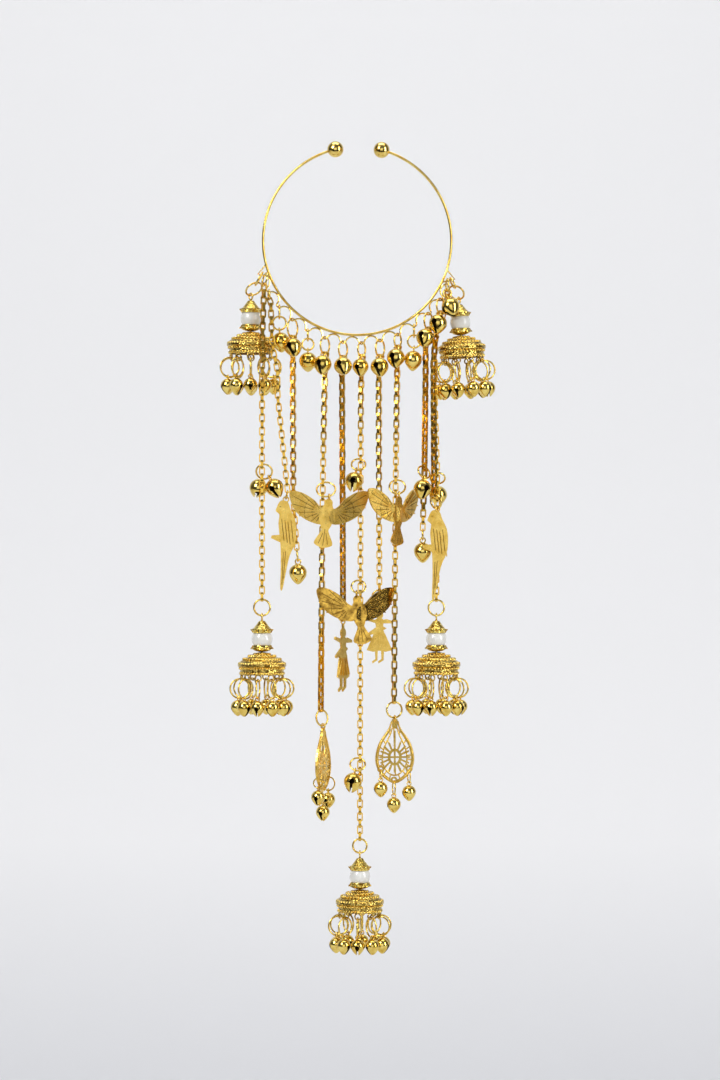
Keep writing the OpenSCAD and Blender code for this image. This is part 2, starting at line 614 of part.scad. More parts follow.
leaf_left_turn = 70;
leaf_right_turn = 10;
module leaf_left() { charm(leaf_left_ring, leaf_left_turn) leaf(); }
module leaf_right() { charm(leaf_right_ring, leaf_right_turn) leaf(); }
module hanging_leaf_bells(ring, turn) {
    translate(ring[1] + [0, 0, ring_wire / 2 + hang_gap - 2 * bell_eye_r - bell_eye_wire / 2])
        rotate([0, 0, turn])
            leaf_bells();
}
module leaf_left_bells() { hanging_leaf_bells(leaf_left_ring, leaf_left_turn); }
module leaf_right_bells() { hanging_leaf_bells(leaf_right_ring, leaf_right_turn); }

// Jhumka, measured down from its hinge: eye and pin, petal cap, pearl, petal cap, dome
pin_eye_wire = 0.55;
pin_eye_mid = pin_eye_r + pin_eye_wire / 2;
pin_eye_z = ring_wire / 2 + hang_gap - pin_eye_r;
pin_top = pin_eye_z - pin_eye_mid;
pearl_gap = 0.12;
pearl_z = pin_top - 2.5 - cap_wall - pearl_gap - pearl_d / 2;
cap_r = pearl_d / 2 + pearl_gap;
cap_end = cap_r + cap_wall;
upper_neck_h = 2.1;
neck_h = 0.3;
dome_top = pearl_z - cap_end - neck_h - pin_gap;
dome_skirt_z = dome_top - dome_h;
bore = pin_d + 2 * pin_gap;
pin_head_d = 2.4;
pin_head_h = 0.5;

module on_jhumka(j) {
    row = JHUMKAS[j - 1];
    translate(row[0])
        rotate([0, -row[2], 0])
            children();
}

module jhumka_pin(j) {
    color("gold")
        on_jhumka(j) {
            rotate([0, 0, JHUMKAS[j - 1][1]])
                translate([0, 0, pin_eye_z])
                    wire_ring(pin_eye_mid, pin_eye_wire);
            pin_end = dome_top - dome_wall - pin_gap - pin_head_h;
            translate([0, 0, pin_end])
                cylinder(d = pin_d, h = pin_top - pin_end);
            translate([0, 0, pin_end])
                cylinder(d = pin_head_d, h = pin_head_h);
        }
}

// A petal cap that opens downwards over the pearl, its middle at the pearl's middle
petals = 8;
// Outside from near the neck down to the turned-up tips, as shares of cap_d / 2 and cap_end
CAP = [[0.7, 0.95], [0.87, 0.8], [1, 0.84], [0.99, 0.75], [0.89, 0.67], [0.83, 0.52]];
cap_shell = concat([for (p = CAP) [p[0] * cap_d / 2, p[1] * cap_end]],
    [for (a = [34:12:82]) [cap_r * cos(a), cap_r * sin(a)]]);
module petal_cap(neck) {
    difference() {
        rotate_extrude()
            polygon(concat([[bore / 2, cap_r + 0.05], [bore / 2, cap_end + neck],
                [bore / 2 + 0.5, cap_end + neck], [0.48 * cap_d / 2, cap_end + 0.42 * neck]],
                cap_shell));
        for (i = [0:petals - 1])
            rotate([0, 0, (i + 0.5) * 360 / petals])
                translate([0.81 * cap_d / 2, 0, 0.72 * cap_end])
                    rotate([0, 90, 0])
                        cylinder(r = 0.6, h = cap_d);
    }
}

module jhumka_upper_cap(j) {
    color("goldenrod")
        on_jhumka(j)
            translate([0, 0, pearl_z])
                petal_cap(upper_neck_h);
}

module jhumka_lower_cap(j) {
    color("goldenrod")
        on_jhumka(j)
            translate([0, 0, pearl_z])
                rotate([180, 0, 0])
                    petal_cap(neck_h);
}

module jhumka_pearl(j) {
    color("ivory")
        on_jhumka(j)
            translate([0, 0, pearl_z])
                difference() {
                    sphere(d = pearl_d);
                    cylinder(d = bore, h = 2 * pearl_d, center = true);
                }
}

// Dome: half profile as shares of the widest radius and of the height, outside then inside
DOME = [[0.16, 0], [0.3, -0.03], [0.36, -0.1], [0.5, -0.13], [0.58, -0.2], [0.7, -0.25],
    [0.77, -0.33], [0.88, -0.39], [0.93, -0.47], [1, -0.53], [1, -0.62], [0.93, -0.68]];
loop_r = 1.05;
loop_wire = 0.5;
loop_z = dome_skirt_z - loop_r + 0.1;
module jhumka_dome(j) {
    r = dome_d / 2;
    w = dome_wall;
    outside = [for (p = DOME) [p[0] * r, p[1] * dome_h]];
    inside = [for (i = [len(DOME) - 1:-2:1]) [DOME[i][0] * r - w, DOME[i][1] * dome_h - w * 0.7]];
    color("goldenrod")
        on_jhumka(j)
            union() {
                translate([0, 0, dome_top])
                    rotate_extrude()
                        polygon(concat([[bore / 2, 0]], outside,
                            [[band_d / 2, -0.72 * dome_h], [band_d / 2, -dome_h],
                            [band_d / 2 - w, -dome_h]], inside, [[bore / 2, -w]]));
                for (i = [0:dome_bells - 1])
                    rotate([0, 0, JHUMKAS[j - 1][3] + i * 360 / dome_bells])
                        translate([band_d / 2 - w / 2, 0, loop_z])
                            rotate([0, 0, 90])
                                wire_ring(loop_r, loop_wire);
            }
}

ring_out = 0.5;
bell_out = 0.7;
module jhumka_bells(j) {
    ring_mid = (dome_ring_d - dome_ring_wire) / 2;
    top_z = loop_z - loop_r + loop_wire / 2 + hang_gap + dome_ring_wire / 2;
    drop = sqrt(pow(ring_mid, 2) - pow(bell_out, 2));
    color("gold")
        on_jhumka(j)
            for (i = [0:dome_bells - 1])
                rotate([0, 0, JHUMKAS[j - 1][3] + i * 360 / dome_bells])
                    translate([band_d / 2 - dome_wall / 2 + ring_out, 0, top_z - ring_mid]) {
                        wire_ring(ring_mid, dome_ring_wire);
                        translate([bell_out, 0, -drop])
                            rotate([0, 0, 90])
                                bell(small_bell_d, 90 * (i % 2), small_eye_r, small_eye_wire,
                                    dome_ring_wire);
                    }
}
module jhumka_1_pin() { jhumka_pin(1); }
module jhumka_1_upper_cap() { jhumka_upper_cap(1); }
module jhumka_1_pearl() { jhumka_pearl(1); }
module jhumka_1_lower_cap() { jhumka_lower_cap(1); }
module jhumka_1_dome() { jhumka_dome(1); }
module jhumka_1_bells() { jhumka_bells(1); }
module jhumka_2_pin() { jhumka_pin(2); }
module jhumka_2_upper_cap() { jhumka_upper_cap(2); }
module jhumka_2_pearl() { jhumka_pearl(2); }
module jhumka_2_lower_cap() { jhumka_lower_cap(2); }
module jhumka_2_dome() { jhumka_dome(2); }
module jhumka_2_bells() { jhumka_bells(2); }
module jhumka_3_pin() { jhumka_pin(3); }
module jhumka_3_upper_cap() { jhumka_upper_cap(3); }
module jhumka_3_pearl() { jhumka_pearl(3); }
module jhumka_3_lower_cap() { jhumka_lower_cap(3); }
module jhumka_3_dome() { jhumka_dome(3); }
module jhumka_3_bells() { jhumka_bells(3); }
module jhumka_4_pin() { jhumka_pin(4); }
module jhumka_4_upper_cap() { jhumka_upper_cap(4); }
module jhumka_4_pearl() { jhumka_pearl(4); }
module jhumka_4_lower_cap() { jhumka_lower_cap(4); }
module jhumka_4_dome() { jhumka_dome(4); }
module jhumka_4_bells() { jhumka_bells(4); }
module jhumka_5_pin() { jhumka_pin(5); }
module jhumka_5_upper_cap() { jhumka_upper_cap(5); }
module jhumka_5_pearl() { jhumka_pearl(5); }
module jhumka_5_lower_cap() { jhumka_lower_cap(5); }
module jhumka_5_dome() { jhumka_dome(5); }
module jhumka_5_bells() { jhumka_bells(5); }

bangle_hoop();
rim_rings();
rim_bells();
jump_rings();
chain_bells();
chain_01();
chain_02();
chain_03();
chain_04();
chain_05();
chain_06();
chain_07();
chain_08();
chain_09();
chain_10();
chain_11();
dove_left();
dove_right();
dove_lower();
parrot_left();
parrot_right();
dancer_left();
dancer_right();
leaf_left();
leaf_right();
leaf_left_bells();
leaf_right_bells();
jhumka_1_pin();
jhumka_1_upper_cap();
jhumka_1_pearl();
jhumka_1_lower_cap();
jhumka_1_dome();
jhumka_1_bells();
jhumka_2_pin();
jhumka_2_upper_cap();
jhumka_2_pearl();
jhumka_2_lower_cap();
jhumka_2_dome();
jhumka_2_bells();
jhumka_3_pin();
jhumka_3_upper_cap();
jhumka_3_pearl();
jhumka_3_lower_cap();
jhumka_3_dome();
jhumka_3_bells();
jhumka_4_pin();
jhumka_4_upper_cap();
jhumka_4_pearl();
jhumka_4_lower_cap();
jhumka_4_dome();
jhumka_4_bells();
jhumka_5_pin();
jhumka_5_upper_cap();
jhumka_5_pearl();
jhumka_5_lower_cap();
jhumka_5_dome();
jhumka_5_bells();
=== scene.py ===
import math

import bpy
from mathutils import Matrix, Vector


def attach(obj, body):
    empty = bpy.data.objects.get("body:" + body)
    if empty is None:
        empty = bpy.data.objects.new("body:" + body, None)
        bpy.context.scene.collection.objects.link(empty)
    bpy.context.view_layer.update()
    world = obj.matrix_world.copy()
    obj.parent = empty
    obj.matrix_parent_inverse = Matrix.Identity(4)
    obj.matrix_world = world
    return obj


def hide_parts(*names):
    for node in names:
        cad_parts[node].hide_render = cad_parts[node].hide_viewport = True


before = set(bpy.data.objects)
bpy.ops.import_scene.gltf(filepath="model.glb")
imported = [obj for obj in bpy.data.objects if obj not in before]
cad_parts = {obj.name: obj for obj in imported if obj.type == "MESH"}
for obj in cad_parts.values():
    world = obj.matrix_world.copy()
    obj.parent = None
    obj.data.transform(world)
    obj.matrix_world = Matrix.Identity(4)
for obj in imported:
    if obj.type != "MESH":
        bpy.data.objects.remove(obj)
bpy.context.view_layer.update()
MM = 0.001


# Camera: a long lens in front of the ornament, level with the middle of its length, so the
# hoop hangs near the top of the upright frame and the lowest jhumka near its foot.
CAMERA_X, CAMERA_Z = 0.95 * MM, -101.7 * MM
CAMERA_DISTANCE = 1.2
FRAME_HEIGHT = 0.3672
SENSOR_HEIGHT = 36
camera_data = bpy.data.cameras.new("camera")
camera_data.sensor_fit = "VERTICAL"
camera_data.sensor_height = SENSOR_HEIGHT
camera_data.lens = SENSOR_HEIGHT * CAMERA_DISTANCE / FRAME_HEIGHT
camera_data.clip_start = 0.05
camera = bpy.data.objects.new("camera", camera_data)
camera.location = (CAMERA_X, -CAMERA_DISTANCE, CAMERA_Z)
camera.rotation_euler = (math.radians(90), 0, 0)
bpy.context.scene.collection.objects.link(camera)
bpy.context.scene.camera = camera


# Studio sweep: matt pale paper that curves up from a floor below the ornament to a wall
# behind it, a little greyer on the floor. The ornament hangs clear of both.
def linear(hex_colour):
    parts = [int(hex_colour[i:i + 2], 16) / 255 for i in (1, 3, 5)]
    return [c / 12.92 if c <= 0.04045 else ((c + 0.055) / 1.055) ** 2.4 for c in parts] + [1]


def add_node(tree, kind, settings=None, links=None):
    node = tree.nodes.new(kind)
    for name, value in (settings or {}).items():
        if name in node.inputs.keys():
            node.inputs[name].default_value = value
        else:
            setattr(node, name, value)
    for name, source in (links or {}).items():
        tree.links.new(source, node.inputs[name])
    return node


def new_material(name):
    material = bpy.data.materials.new(name)
    material.use_nodes = True
    tree = material.node_tree
    return material, tree, tree.nodes["Principled BSDF"]


def clear_selection():
    if bpy.context.object and bpy.context.object.mode != "OBJECT":
        bpy.ops.object.mode_set(mode="OBJECT")
    bpy.ops.object.select_all(action="DESELECT")


FLOOR_Z = -0.36
FLOOR_DEPTH = 0.9
WIDTH_SHARE = 5
WALL_Y = 0.75
WALL_RISE = 3
SWEEP_RADIUS = 0.35
SWEEP_STEPS = 12
clear_selection()
bpy.ops.mesh.primitive_plane_add(
    size=FLOOR_DEPTH, location=(0, WALL_Y - SWEEP_RADIUS - FLOOR_DEPTH / 2, FLOOR_Z))
sweep = bpy.context.object
sweep.name = "studio_sweep"
bpy.ops.object.mode_set(mode="EDIT")
bpy.ops.transform.resize(value=(WIDTH_SHARE, 1, 1))
bpy.ops.mesh.select_all(action="DESELECT")
bpy.ops.mesh.select_mode(type="EDGE")
bpy.ops.object.mode_set(mode="OBJECT")
for edge in sweep.data.edges:
    edge.select = all(sweep.data.vertices[i].co.y > 0 for i in edge.vertices)
bpy.ops.object.mode_set(mode="EDIT")
for step in range(SWEEP_STEPS):
    a, b = (math.pi / 2 * (step + t) / SWEEP_STEPS for t in (0, 1))
    move = (0, SWEEP_RADIUS * (math.sin(b) - math.sin(a)),
            SWEEP_RADIUS * (math.cos(a) - math.cos(b)))
    bpy.ops.mesh.extrude_region_move(TRANSFORM_OT_translate={"value": move})
bpy.ops.mesh.extrude_region_move(TRANSFORM_OT_translate={"value": (0, 0, WALL_RISE)})
bpy.ops.object.mode_set(mode="OBJECT")
bpy.ops.object.transform_apply(location=True, rotation=False, scale=False)
bpy.ops.object.shade_smooth()
# Matt backdrop paper: no gloss, and a floor a shade greyer than the wall above it
TONE_RISE = 0.1
paper, tree, shader = new_material("matt_backdrop_paper")
surface = add_node(tree, "ShaderNodeNewGeometry")
place = add_node(tree, "ShaderNodeSeparateXYZ", links={"Vector": surface.outputs["Position"]})
rise = add_node(tree, "ShaderNodeMapRange", {"From Min": FLOOR_Z, "From Max": FLOOR_Z + TONE_RISE},
                {"Value": place.outputs["Z"]})
tone = add_node(tree, "ShaderNodeMix", {"data_type": "RGBA"})
tone.inputs[6].default_value = linear("#dddee1")
tone.inputs[7].default_value = linear("#f1f1f2")
tree.links.new(rise.outputs["Result"], tone.inputs[0])
tree.links.new(tone.outputs[2], shader.inputs["Base Color"])
shader.inputs["Roughness"].default_value = 0.9
shader.inputs["Specular IOR Level"].default_value = 0.1
# The paper's back is clear, so the ornament can be looked at from behind as well
sides = add_node(tree, "ShaderNodeMixShader")
tree.links.new(surface.outputs["Backfacing"], sides.inputs[0])
tree.links.new(shader.outputs["BSDF"], sides.inputs[1])
tree.links.new(add_node(tree, "ShaderNodeBsdfTransparent").outputs["BSDF"], sides.inputs[2])
tree.links.new(sides.outputs["Shader"], tree.nodes["Material Output"].inputs["Surface"])
sweep.data.materials.append(paper)


# Studio lights: large soft boxes above, left and right, a low fill in front, and a pale room
# that is darker towards the floor, so polished gold has something dark to mirror.
def soft_box(name, place, width, height, power, aim=(0, 0, -0.1)):
    data = bpy.data.lights.new(name, "AREA")
    data.shape = "RECTANGLE"
    data.size = width
    data.size_y = height
    data.energy = power
    lamp = bpy.data.objects.new(name, data)
    lamp.location = place
    lamp.rotation_euler = (Vector(aim) - Vector(place)).to_track_quat("-Z", "Y").to_euler()
    bpy.context.scene.collection.objects.link(lamp)


soft_box("key_box", (-0.7, -0.8, 0.55), 0.42, 0.6, 9)
soft_box("side_box", (0.85, -0.55, 0.15), 0.25, 0.8, 5.5)
soft_box("top_box", (0, 0.1, 0.9), 0.9, 0.5, 3.5)
soft_box("front_box", (0, -2.2, 0.1), 1.5, 1.3, 6)
soft_box("wall_wash", (0, -0.2, 1.2), 1.6, 0.5, 3.1, aim=(0, WALL_Y, -0.1))

room = bpy.data.worlds.new("pale_room")
bpy.context.scene.world = room
room.use_nodes = True
tree = room.node_tree
direction = add_node(tree, "ShaderNodeTexCoord")
height = add_node(tree, "ShaderNodeSeparateXYZ", links={"Vector": direction.outputs["Generated"]})
shades = add_node(tree, "ShaderNodeValToRGB", links={"Fac": add_node(
    tree, "ShaderNodeMapRange", {"From Min": -1, "From Max": 1},
    {"Value": height.outputs["Z"]}).outputs["Result"]})
shades.color_ramp.elements[0].color = linear("#3a3028")
shades.color_ramp.elements[0].position = 0.3
shades.color_ramp.elements[1].color = linear("#f4f6ff")
shades.color_ramp.elements[1].position = 0.75
backing = tree.nodes["Background"]
tree.links.new(shades.outputs["Color"], backing.inputs["Color"])
backing.inputs["Strength"].default_value = 0.16
# Beyond the paper the room looks as pale as the paper does
beyond = add_node(tree, "ShaderNodeBackground", {"Color": linear("#ebecef")})
seen = add_node(tree, "ShaderNodeMixShader")
tree.links.new(add_node(tree, "ShaderNodeLightPath").outputs["Is Camera Ray"], seen.inputs[0])
tree.links.new(backing.outputs["Background"], seen.inputs[1])
tree.links.new(beyond.outputs["Background"], seen.inputs[2])
tree.links.new(seen.outputs["Shader"], tree.nodes["World Output"].inputs["Surface"])
bpy.context.scene.view_settings.view_transform = "Standard"


# Hoop and scalloped wire: brass wire, gold plated and polished, with two cast balls at the
# opening. The scallops are soldered below the hoop, so the whole is one piece.
GLOSS_LOW, GLOSS_HIGH = 0.75, 1.35


# Plating varies in three ways: a cloudy tint, an uneven gloss and a fine waver of the surface
def gold_plate(name, light, deep, patch_mm, roughness, scratch_mm, bump):
    material, tree, shader = new_material(name)
    place = add_node(tree, "ShaderNodeTexCoord").outputs["Object"]
    patches = add_node(tree, "ShaderNodeTexNoise",
                       {"Scale": 1 / (patch_mm * MM), "Detail": 3, "Roughness": 0.55},
                       {"Vector": place})
    tint = add_node(tree, "ShaderNodeMix", {"data_type": "RGBA"})
    tint.inputs[6].default_value = linear(deep)
    tint.inputs[7].default_value = linear(light)
    spread = add_node(tree, "ShaderNodeMapRange", {"From Min": 0.3, "From Max": 0.65},
                      {"Value": patches.outputs["Fac"]})
    tree.links.new(spread.outputs["Result"], tint.inputs[0])
    tree.links.new(tint.outputs[2], shader.inputs["Base Color"])
    shader.inputs["Metallic"].default_value = 1
    wear = add_node(tree, "ShaderNodeTexNoise", {"Scale": 1 / (scratch_mm * MM), "Detail": 4},
                    {"Vector": place})
    gloss = add_node(tree, "ShaderNodeMapRange",
                     {"From Min": 0.3, "From Max": 0.7, "To Min": roughness * GLOSS_LOW,
                      "To Max": roughness * GLOSS_HIGH}, {"Value": wear.outputs["Fac"]})
    tree.links.new(gloss.outputs["Result"], shader.inputs["Roughness"])
    relief = add_node(tree, "ShaderNodeBump", {"Strength": bump, "Distance": 0.1 * MM},
                      {"Height": wear.outputs["Fac"]})
    tree.links.new(relief.outputs["Normal"], shader.inputs["Normal"])
    return material


def finish_node(node, material):
    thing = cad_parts[node]
    thing.data.materials.clear()
    thing.data.materials.append(material)


# Polished plate over drawn wire: mirror gloss, faint draw marks, warm yellow
wire_gold = gold_plate("polished_gold_plated_wire", "#f8df84", "#dbb04a", 3, 0.16, 0.5, 0.12)
for node in ("bangle_hoop", "rim_rings", "jump_rings"):
    finish_node(node, wire_gold)


# Bells: pressed brass shells with a round hole above a slot, their lower petals pinched to a
# point. They are tumbled bright and plated, hold a loose pellet, and hang by an eye.
# Tumbled plate: close to a mirror, with a slight waver that breaks up the highlights
bell_gold = gold_plate("tumbled_gold_plated_bells", "#fae180", "#dab044", 2.2, 0.15, 0.7, 0.1)
# Painted shade inside a bell: the inner wall and pellet are coloured dark brown, which makes hole
# and slot read dark
bell_inside_shade, tree, shader = new_material("painted_shade_inside_bells")
shader.inputs["Base Color"].default_value = linear("#3b2710")
shader.inputs["Metallic"].default_value = 1
shader.inputs["Roughness"].default_value = 0.6
BELL_D = 6.2
BELL_WALL = 0.35
BELL_LEVELS = 18
# The lower half draws in and reaches down, as shares of the radius. Each pass moves a level
# and all below it, and the slack makes sure that the level itself is caught.
PETAL_PINCH, PETAL_REACH = 0.24, 0.27
LEVEL_SLACK = 0.01
# Radius and width are millimetres, drop and length shares of the bell, taper one of the width
HOLE_RADIUS, HOLE_DROP = 0.95, 0.08
SLOT_WIDTH, SLOT_LENGTH, SLOT_TAPER = 1.1, 0.84, 0.45
PELLET_RADIUS, PELLET_DROP = 1.3, 0.9
clear_selection()
bpy.ops.mesh.primitive_uv_sphere_add(segments=28, ring_count=BELL_LEVELS,
                                     radius=BELL_D / 2 * MM)
bell = bpy.context.object
heights = [v.co.z for v in bell.data.vertices]
narrow, drop = 1, 0
for level in range(1, BELL_LEVELS // 2 + 1):
    depth = math.sin(math.pi * level / BELL_LEVELS)
    for vertex, height in zip(bell.data.vertices, heights):
        vertex.select = height < (LEVEL_SLACK - depth) * BELL_D / 2 * MM
    bpy.ops.object.mode_set(mode="EDIT")
    bpy.ops.mesh.select_mode(type="VERT")
    size = (1 - PETAL_PINCH * depth ** 2) / narrow
    sink = PETAL_REACH * BELL_D / 2 * depth ** 3 - drop
    bpy.ops.transform.resize(value=(size, size, 1))
    bpy.ops.transform.translate(value=(0, 0, -sink * MM))
    bpy.ops.mesh.select_all(action="DESELECT")
    bpy.ops.object.mode_set(mode="OBJECT")
    narrow *= size
    drop += sink
# The inner wall of the shell takes the second material, the dark painted shade
shell = bell.modifiers.new("wall", "SOLIDIFY")
shell.thickness = BELL_WALL * MM
shell.offset = -1
shell.material_offset = 1
bell.data.materials.append(bell_gold)
bell.data.materials.append(bell_inside_shade)
bpy.ops.object.modifier_apply(modifier=shell.name)
clear_selection()
bpy.ops.mesh.primitive_cylinder_add(vertices=20, radius=HOLE_RADIUS * MM,
                                    depth=2 * BELL_D * MM,
                                    rotation=(0, math.radians(90), 0),
                                    location=(0, 0, -HOLE_DROP * BELL_D * MM))
hole_cutter = bpy.context.object
clear_selection()
bpy.ops.mesh.primitive_cube_add(size=MM, location=(0, 0, -0.5 * BELL_D * MM))
slot_cutter = bpy.context.object
bpy.ops.object.mode_set(mode="EDIT")
bpy.ops.transform.resize(value=(2 * BELL_D, SLOT_WIDTH, SLOT_LENGTH * BELL_D))
bpy.ops.mesh.select_all(action="DESELECT")
bpy.ops.object.mode_set(mode="OBJECT")
for vertex in slot_cutter.data.vertices:
    vertex.select = vertex.co.z < 0
bpy.ops.object.mode_set(mode="EDIT")
bpy.ops.transform.resize(value=(1, SLOT_TAPER, 1))
bpy.ops.object.mode_set(mode="OBJECT")
bpy.context.view_layer.objects.active = bell
for cutter in (hole_cutter, slot_cutter):
    cut = bell.modifiers.new("cut", "BOOLEAN")
    cut.operation = "DIFFERENCE"
    cut.solver = "EXACT"
    cut.object = cutter
    bpy.ops.object.modifier_apply(modifier=cut.name)
    bpy.data.objects.remove(cutter)
clear_selection()
# The pellet inside takes the same dark painted shade
bpy.ops.mesh.primitive_ico_sphere_add(subdivisions=2, radius=PELLET_RADIUS * MM,
                                      location=(0, 0, -PELLET_DROP * MM))
pellet = bpy.context.object
pellet.data.materials.append(bell_inside_shade)
bell.select_set(True)
bpy.context.view_layer.objects.active = bell
bpy.ops.object.join()
bpy.ops.object.shade_smooth_by_angle(angle=math.radians(40))


def wire_ring(middle_radius, wire_radius, segments):
    clear_selection()
    bpy.ops.mesh.primitive_torus_add(
        major_radius=middle_radius * MM, minor_radius=wire_radius * MM,
        major_segments=segments, minor_segments=8, rotation=(math.radians(90), 0, 0))
    bpy.ops.object.transform_apply(location=False, rotation=True, scale=False)
    bpy.ops.object.shade_smooth()
    ring = bpy.context.object
    ring.data.materials.append(bell_gold)
    return ring


EYE_INNER, EYE_MIDDLE = 0.65, 0.9
HANG_GAP = 0.12
eye = wire_ring(EYE_MIDDLE, EYE_MIDDLE - EYE_INNER, 18)


# Where a bell hangs: its ring's point, with the bell's axis along aim and its slot at azimuth
def bell_frame(point, aim, azimuth):
    up = -Vector(aim).normalized()
    across, deep = math.cos(math.radians(azimuth)), math.sin(math.radians(azimuth))
    side = Vector((across, deep, -(up.x * across + up.y * deep) / up.z)).normalized()
    turn = Matrix((side, up.cross(side), up)).transposed().to_4x4()
    return Matrix.Translation(Vector(point) * MM) @ turn


def bell_copies(hold, diameter, wire, eye_turn):
    size = diameter / BELL_D
    eye_z = wire / 2 + HANG_GAP - EYE_INNER * size
    bell_z = eye_z - (EYE_MIDDLE + BELL_D / 2 - BELL_WALL / 2) * size
    scale = Matrix.Scale(size, 4)
    turn = Matrix.Rotation(math.radians(eye_turn), 4, "Z")
    return [(bell.data, hold @ Matrix.Translation((0, 0, bell_z * MM)) @ scale),
            (eye.data, hold @ Matrix.Translation((0, 0, eye_z * MM)) @ turn @ scale)]


def join_copies(name, places):
    clear_selection()
    copies = []
    for mesh, matrix in places:
        copy = mesh.copy()
        copy.transform(matrix)
        thing = bpy.data.objects.new(name, copy)
        bpy.context.scene.collection.objects.link(thing)
        thing.select_set(True)
        copies.append(thing)
    bpy.context.view_layer.objects.active = copies[0]
    bpy.ops.object.join()
    return bpy.context.object


def add_bells(name, places, body, node):
    bells = join_copies(name, places)
    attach(bells, body)
    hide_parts(node)


# Point of the ring a bell hangs on, the way it hangs, the way its slot faces and its size
RIM_BELLS = [
    ((-26.44, 0.0, -30.26), (0.10, 0.29, -0.95), -2, 6.2),
    ((-22.54, -0.97, -32.77), (0.18, -0.49, -0.85), -121, 6.2),
    ((-16.77, 0.0, -37.14), (0.0, 0.42, -0.91), 0, 6.2),
    ((-11.50, -0.88, -38.36), (-0.06, -0.41, -0.91), -120, 6.2),
    ((-5.32, -0.85, -39.63), (0.13, -0.64, -0.76), -126, 6.2),
    ((1.06, -0.75, -39.26), (0.02, -0.17, -0.98), -119, 5.6),
    ((7.26, -0.88, -39.28), (0.08, -0.44, -0.90), -120, 6.2),
    ((13.37, -0.70, -36.12), (-0.06, -0.41, -0.91), -120, 6.2),
    ((19.31, 0.0, -36.37), (-0.07, 0.10, -0.99), -180, 6.2),
    ((23.70, -0.85, -29.98), (-0.17, -0.61, -0.78), -124, 6.2),
    ((27.80, -0.76, -24.53), (-0.10, -0.40, -0.91), -120, 6.2),
    ((30.61, 0.0, -19.22), (0.27, -0.51, -0.82), -164, 6.2),
]
CHAIN_BELLS = [
    ((-32.27, -4.09, -80.88), (-0.31, 0.54, -0.78), -93, 6.2),
    ((-29.73, -4.33, -80.39), (0.44, -0.18, -0.88), -111, 6.2),
    ((-20.16, 1.0, -108.90), (0.0, 0.0, -1.00), 0, 6.2),
    ((-0.31, -2.60, -77.92), (-0.19, -0.28, -0.94), -96, 6.2),
    ((-0.71, -2.80, -179.82), (-0.19, -0.28, -0.94), -96, 6.2),
    ((22.49, -2.30, -80.45), (-0.09, -0.33, -0.94), -60, 6.2),
    ((22.29, 1.80, -101.60), (0.0, 0.0, -1.00), 0, 6.2),
    ((27.61, 3.80, -82.44), (0.0, 0.29, -0.96), -92, 6.2),
]
RING_WIRE = 0.65
add_bells("rim_bells_pressed",
          [copy for point, aim, face, size in RIM_BELLS
           for copy in bell_copies(bell_frame(point, aim, face), size, RING_WIRE, 90)],
          "hoop_and_chains", "rim_bells")
add_bells("chain_bells_pressed",
          [copy for point, aim, face, size in CHAIN_BELLS
           for copy in bell_copies(bell_frame(point, aim, face), size, RING_WIRE, 0)],
          "hoop_and_chains", "chain_bells")

# Three small bells below each leaf: across, down to the hole's lower edge, ring's diameter
SMALL_BELL_D = 4.8
LEAF_RING_WIRE = 0.5
LEAF_BELLS = [(-4.82, -16.5, 3.3), (-0.27, -20.32, 4.9), (4.96, -16.5, 4.7)]
LEAF_PLACES = [("left", (-11.59, 0, -165.94), 70), ("right", (12.74, 0, -163.21), 10)]
for side, place, turn in LEAF_PLACES:
    leaf_frame = (Matrix.Translation(Vector(place) * MM)
                  @ Matrix.Rotation(math.radians(turn), 4, "Z"))
    places = []
    for across, top, middle_d in LEAF_BELLS:
        leaf_ring = wire_ring(middle_d / 2, LEAF_RING_WIRE / 2, 24)
        middle = Matrix.Translation(Vector((across, 0, top - middle_d / 2)) * MM)
        quarter = Matrix.Rotation(math.radians(90), 4, "Z")
        places.append((leaf_ring.data, leaf_frame @ middle @ quarter))
        bottom = Matrix.Translation(Vector((across, 0, top - middle_d)) * MM)
        places += bell_copies(leaf_frame @ bottom, SMALL_BELL_D, LEAF_RING_WIRE, 0)
        bpy.data.objects.remove(leaf_ring)
    add_bells(f"leaf_{side}_bells_pressed", places, "hoop_and_chains", f"leaf_{side}_bells")


# Chains: flat brass strip bent to oblong links with rounded corners, each turned a quarter
# from the last. They replace the plain tubes that stand for them in the solids.
# Strip links: plated as bent, a little duller than the bells, so that edges catch the light
chain_gold = gold_plate("gold_plated_strip_links", "#f6cf62", "#d4a034", 1.6, 0.2, 0.4, 0.12)
LINK_LENGTH, LINK_WIDTH, STRIP_DEPTH, STRIP_THICKNESS = 3.24, 2.0, 0.93, 0.42
CORNER = 0.62
RING_TO_LINK = 0.88
PITCH = 2.34
clear_selection()
bpy.ops.mesh.primitive_plane_add(size=MM)
link = bpy.context.object
bpy.ops.object.mode_set(mode="EDIT")
bpy.ops.transform.resize(value=(LINK_WIDTH, LINK_LENGTH, 1))
bpy.ops.mesh.bevel(offset=CORNER * MM, segments=2, affect="VERTICES")
bpy.ops.mesh.extrude_region_move(TRANSFORM_OT_translate={"value": (0, 0, STRIP_DEPTH * MM)})
bpy.ops.mesh.select_all(action="SELECT")
bpy.ops.transform.translate(value=(0, 0, -STRIP_DEPTH / 2 * MM))
bpy.ops.mesh.normals_make_consistent(inside=False)
bpy.ops.mesh.select_mode(type="FACE")
bpy.ops.mesh.select_all(action="DESELECT")
bpy.ops.object.mode_set(mode="OBJECT")
for face in link.data.polygons:
    face.select = abs(face.normal.z) > 0.9
bpy.ops.object.mode_set(mode="EDIT")
bpy.ops.mesh.delete(type="ONLY_FACE")
bpy.ops.object.mode_set(mode="OBJECT")
wall = link.modifiers.new("strip", "SOLIDIFY")
wall.thickness = STRIP_THICKNESS * MM
wall.offset = -1
wall.use_even_offset = True
bpy.ops.object.modifier_apply(modifier=wall.name)
